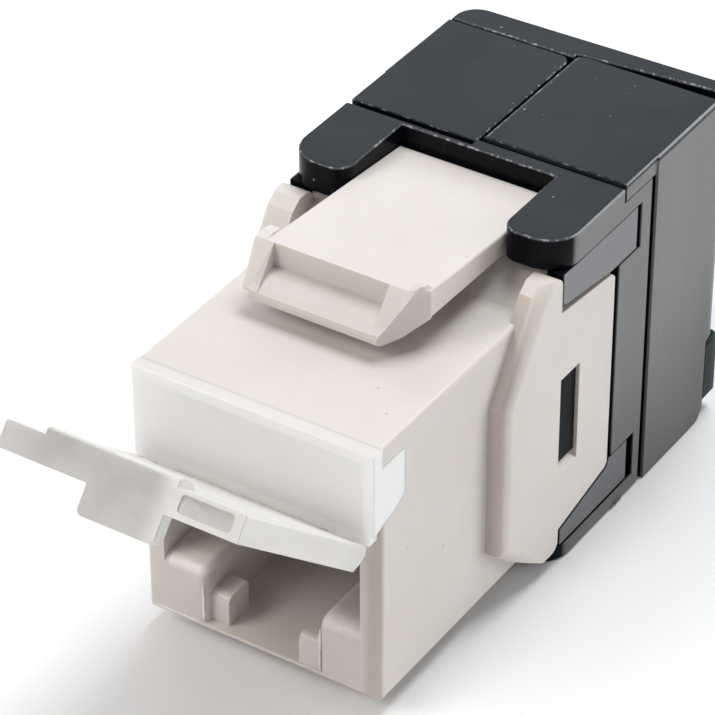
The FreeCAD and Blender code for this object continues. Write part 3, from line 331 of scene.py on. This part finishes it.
def board():
    m = Mat("board_green")
    n = m.noise(400, 3.0, 0.5)
    m.colour(m.mix(m.remap(n, 0.3, 0.7, 0.0, 1.0), (0.015, 0.11, 0.05), (0.03, 0.17, 0.075)))
    m.rough(m.remap(n, 0.3, 0.7, 0.3, 0.5))
    m.bump(m.noise(3000, 2.0), 0.01 * MM, 0.5)
    return m.m


WHITE = white_plastic()
DOOR = frosted("frosted_plastic", (0.900, 0.878, 0.845), (0.925, 0.906, 0.876), 0.30, 0.40, 0.30, 0.7, door_end_shade)
PANE = frosted("frosted_window", (0.855, 0.85, 0.835), (0.88, 0.875, 0.862), 0.06, 0.45, 0.40, 0.5, window_tone)
BLACK = {label: black_plastic("black_plastic_" + label, 0.20, 0.30, 0.16, 0.06, 0.86, 1.0, top)
         for label, top in (("shell", 19.72), ("left", 19.68), ("right", 19.92), ("rear", 19.78))}
INNER = black_plastic("black_inner", 0.28, 0.40, 0.12, 0.04, 1.0, sheen_grey=(0.270, 0.275, 0.286))
GOLD, BOARD, CARD = gold(), board(), card()

LOOK = {"front_housing": WHITE, "panel_latch": WHITE, "label_cover": PANE, "dust_door": DOOR, "label_card": CARD, "front_shell": BLACK["shell"],
        "left_wire_door": BLACK["left"], "right_wire_door": BLACK["right"], "rear_frame": BLACK["rear"], "terminal_block": INNER, "contact_carrier": INNER, "circuit_board": BOARD}
for name, ob in nodes.items():
    mat = LOOK.get(name, GOLD)
    ob.data.materials.clear()
    ob.data.materials.append(mat)


# ------------------------------------------------ soft edges on the CAD nodes
def soften(ob, width, segments=3, angle=32):
    w = ob.modifiers.new("weld", "WELD")
    w.merge_threshold = 2e-6
    b = ob.modifiers.new("edges", "BEVEL")
    b.width = width * MM
    b.segments = segments
    b.limit_method = "ANGLE"
    b.angle_limit = math.radians(angle)
    b.use_clamp_overlap = True
    b.harden_normals = True
    b.miter_outer = "MITER_ARC"


SOFT = {"front_housing": 0.13, "panel_latch": 0.18, "label_cover": 0.06, "dust_door": 0.10, "front_shell": 0.11, "left_wire_door": 0.12, "right_wire_door": 0.12,
        "rear_frame": 0.10, "terminal_block": 0.08}
for name, width in SOFT.items():
    soften(nodes[name], width)


# ------------------------------------- mould flash on the front and a rough burr
def bead(name, a, b, out, width, height, seed, mat, count=40):
    """A low uneven half-round line from a to b (mm), standing out along out, tapered at both ends."""
    a, b, out = Vector(a), Vector(b), Vector(out)
    across = (b - a).cross(out).normalized()
    verts, faces, ring = [], [], 8
    for i in range(count + 1):
        f = i / count
        ease = min(1.0, 6 * f + 0.15, 6 * (1 - f) + 0.15)
        wob = noise.noise(Vector((f * 9.0, seed, 0.3)))
        wide, tall = width * (1 + 0.35 * wob) * ease / 2, height * (1 + 0.5 * noise.noise(Vector((f * 13.0, seed, 5.1)))) * ease
        mid_line = a.lerp(b, f) + across * (0.03 * wob) - out * 0.03
        for k in range(ring):
            ang = math.pi * k / (ring - 1)
            verts.append((mid_line + across * (wide * math.cos(ang)) + out * ((tall + 0.03) * math.sin(ang))) * MM)
    for i in range(count):
        for k in range(ring):
            n = (k + 1) % ring
            faces.append((i * ring + k, i * ring + n, (i + 1) * ring + n, (i + 1) * ring + k))
    faces.append(tuple(range(ring))[::-1])
    faces.append(tuple(count * ring + k for k in range(ring)))
    return piece(name, verts, faces, mat)


def lump(name, at, size, seed, mat):
    """A small torn crumb of plastic round at (mm)."""
    bm = bmesh.new()
    bmesh.ops.create_icosphere(bm, subdivisions=4, radius=1.0)
    for v in bm.verts:
        d = v.co.normalized()
        grow = 1 + 0.38 * noise.noise(d * 1.9 + Vector((seed, 0, 0))) + 0.22 * noise.noise(d * 4.7 + Vector((0, seed, 0)))
        v.co = Vector((d.x * size[0] * grow + at[0], d.y * size[1] * grow + at[1], d.z * size[2] * grow + at[2])) * MM
    me = bpy.data.meshes.new(name)
    bm.to_mesh(me)
    bm.free()
    return finish(name, me, mat)


def piece(name, verts, faces, mat):
    me = bpy.data.meshes.new(name)
    me.from_pydata([tuple(v) for v in verts], [], faces)
    me.update()
    bm = bmesh.new()
    bm.from_mesh(me)
    bmesh.ops.recalc_face_normals(bm, faces=bm.faces)
    bm.to_mesh(me)
    bm.free()
    return finish(name, me, mat)


def finish(name, me, mat):
    for poly in me.polygons:
        poly.use_smooth = True
    ob = bpy.data.objects.new(name, me)
    scene.collection.objects.link(ob)
    me.materials.append(mat)
    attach(ob, "jack")
    return ob


bead("flash_notch_left", (-3.80, 0.0, 0.28), (-3.80, 0.0, 2.72), (0, -1, 0), 0.15, 0.05, 1.0, flash_plastic())
bead("flash_front_low", (-7.0, 0.0, 0.16), (-3.9, 0.0, 0.16), (0, -1, 0), 0.13, 0.04, 4.0, bpy.data.materials["white_flash"])
bead("flash_ridge_right", (3.44, 0.0, 0.25), (3.44, 0.0, 3.05), (0, -1, 0), 0.13, 0.045, 7.0, bpy.data.materials["white_flash"])
for n, (at, size) in enumerate((((8.36, 21.55, -1.00), (0.12, 0.26, 0.12)), ((8.40, 21.95, -1.01), (0.10, 0.20, 0.13)), ((8.37, 22.40, -1.00), (0.11, 0.24, 0.10)), ((8.41, 21.75, -0.88), (0.07, 0.12, 0.08)))):
    lump("burr_%d" % (n + 1), at, size, 2.3 + n * 1.7, BLACK["shell"])


# ------------------------------------------------------------ stage and light
def plane(name, half, z):
    me = bpy.data.meshes.new(name)
    me.from_pydata([(-half, -half, z), (half, -half, z), (half, half, z), (-half, half, z)], [], [(0, 1, 2, 3)])
    ob = bpy.data.objects.new(name, me)
    scene.collection.objects.link(ob)
    return ob


floor = plane("floor", 3.0, cad_box[0][2])
fm = Mat("floor_pale")
fn = fm.noise(6, 3.0)
fm.colour(fm.mix(fn, (0.90, 0.90, 0.90), (0.92, 0.92, 0.92)))
fm.rough(fm.remap(fn, 0.3, 0.7, 0.85, 0.95))
floor.data.materials.append(fm.m)


def softbox(name, at, aim, size, power, colour=(1, 1, 1)):
    li = bpy.data.lights.new(name, "AREA")
    li.shape = "RECTANGLE"
    li.size, li.size_y = size
    li.energy = power
    li.color = colour
    ob = bpy.data.objects.new(name, li)
    ob.location = at
    ob.rotation_euler = (Vector(aim) - Vector(at)).to_track_quat("-Z", "Y").to_euler()
    scene.collection.objects.link(ob)
    return ob


mid = (0.0, 0.012, 0.010)
softbox("top_rear", (0.05, 0.20, 0.60), mid, (0.30, 0.30), 2.55, (0.985, 1.0, 1.02))
softbox("rear_left", (-0.45, 0.60, 0.50), mid, (0.60, 0.60), 1.3, (0.95, 1.0, 1.07))
softbox("right_rear", (0.50, 0.50, 0.12), mid, (0.35, 0.35), 2.0)
softbox("front_top_left", (-0.30, -0.35, 0.42), mid, (0.30, 0.30), 1.85, (1.0, 0.95, 0.90))
world = bpy.data.worlds.new("studio")
scene.world = world
world.use_nodes = True
world.node_tree.nodes["Background"].inputs[0].default_value = (0.95, 0.97, 1.0, 1)
world.node_tree.nodes["Background"].inputs[1].default_value = 0.27

# --------------------------------------------------------------------- camera
az, el, roll = math.radians(32.9626), math.radians(35.5723), math.radians(-0.14)
back = Vector((math.sin(az) * math.cos(el), -math.cos(az) * math.cos(el), math.sin(el)))
right = Vector((math.cos(az), math.sin(az), 0.0))
up = back.cross(right)
r2 = right * math.cos(roll) + up * math.sin(roll)
u2 = -right * math.sin(roll) + up * math.cos(roll)
eye = Vector((84.1215, -120.7934, 123.8971)) * MM
cam = bpy.data.cameras.new("camera")
cam.sensor_width = 36.0
cam.lens = 3703.906 * 36.0 / 715.0
cam.clip_start = 0.01
co = bpy.data.objects.new("camera", cam)
co.matrix_world = Matrix(((r2.x, u2.x, back.x, eye.x), (r2.y, u2.y, back.y, eye.y), (r2.z, u2.z, back.z, eye.z), (0, 0, 0, 1)))
scene.collection.objects.link(co)
scene.camera = co
scene.view_settings.view_transform = "Standard"
scene.view_settings.look = "None"
